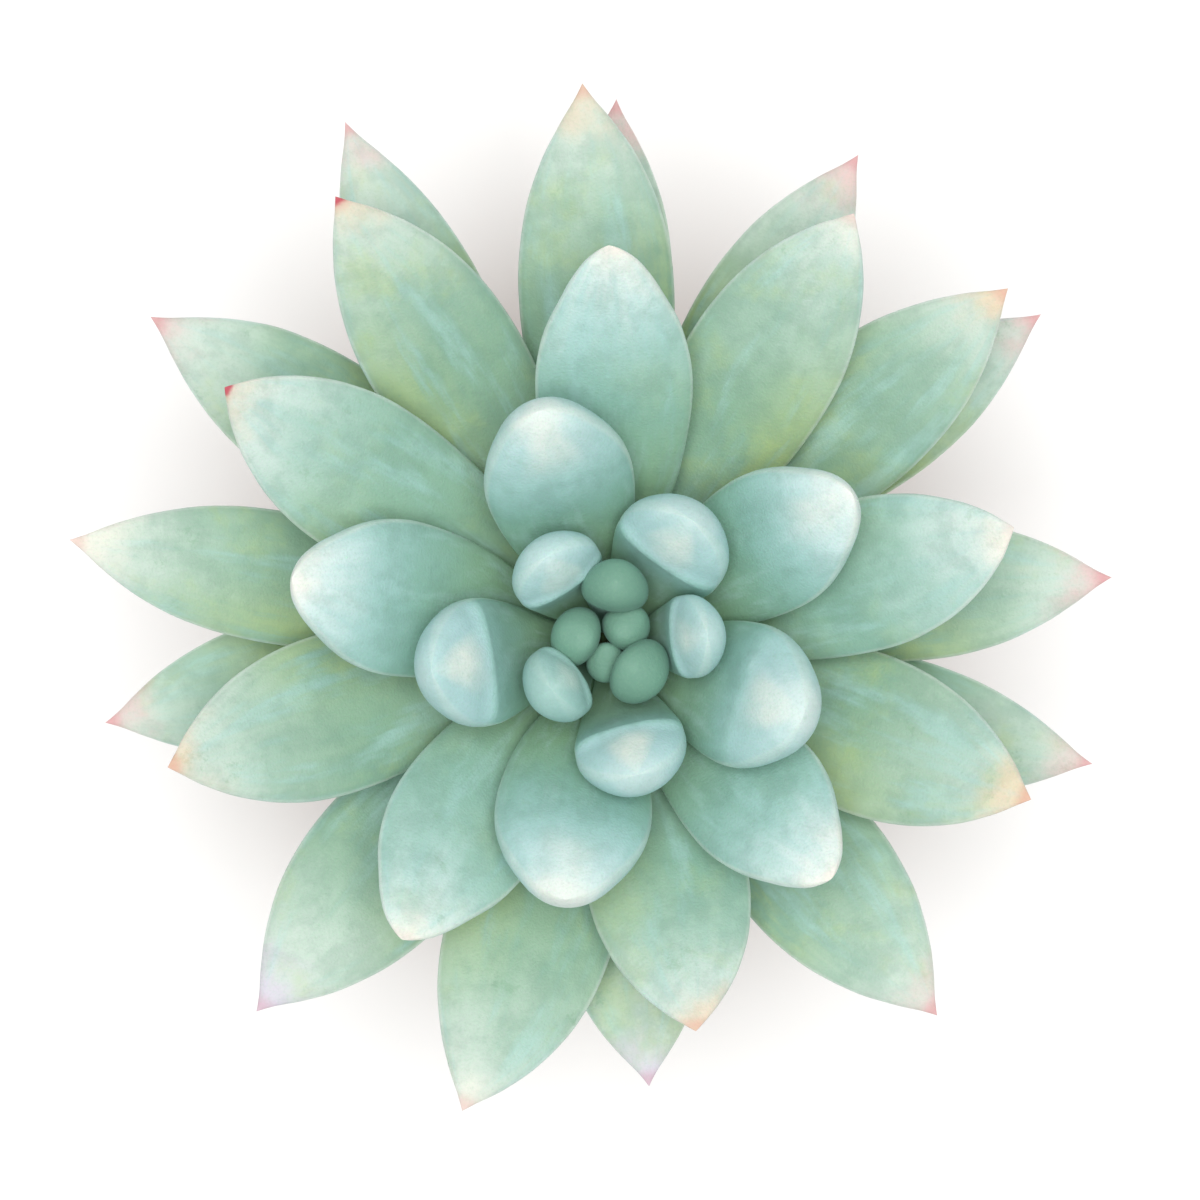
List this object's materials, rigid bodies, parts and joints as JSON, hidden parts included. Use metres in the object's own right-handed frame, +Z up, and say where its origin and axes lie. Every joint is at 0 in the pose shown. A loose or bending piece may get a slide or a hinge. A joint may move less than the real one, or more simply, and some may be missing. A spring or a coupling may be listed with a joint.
{
  "type": "potted succulent",
  "caption": "Rosette succulent with thick pointed blue-green leaves on a short leaning stem, growing from soil in a tapered clay pot with a collared rim and a drain hole.",
  "frame": {"origin": "middle of the pot's foot, on the plane that the pot stands on", "axes": "+Z up along the pot's axis; +Y is the top of the rosette as seen from straight above, +X its right"},
  "size_m": [0.1492, 0.1464, 0.1326],
  "materials": {
    "clay": "matte",
    "soil": "matte",
    "stem": "matte",
    "leaf": "matte"
  },
  "bodies": {
    "root": {"pot": "clay", "soil": "soil", "stem": "stem", "leaf_01": "leaf", "leaf_02": "leaf", "leaf_03": "leaf", "leaf_04": "leaf", "leaf_05": "leaf", "leaf_06": "leaf", "leaf_07": "leaf", "leaf_08": "leaf", "leaf_09": "leaf", "leaf_10": "leaf", "leaf_11": "leaf", "leaf_12": "leaf", "leaf_13": "leaf", "leaf_14": "leaf", "leaf_15": "leaf", "leaf_16": "leaf", "leaf_17": "leaf", "leaf_18": "leaf", "leaf_19": "leaf", "leaf_20": "leaf", "leaf_21": "leaf", "leaf_22": "leaf", "leaf_23": "leaf", "leaf_24": "leaf", "leaf_25": "leaf", "leaf_26": "leaf", "leaf_27": "leaf", "leaf_28": "leaf", "leaf_29": "leaf", "leaf_30": "leaf", "leaf_31": "leaf", "leaf_32": "leaf", "leaf_33": "leaf", "leaf_34": "leaf", "leaf_35": "leaf", "leaf_36": "leaf", "leaf_37": "leaf", "leaf_38": "leaf", "leaf_39": "leaf", "leaf_40": "leaf", "leaf_41": "leaf"}
  },
  "joints": []
}
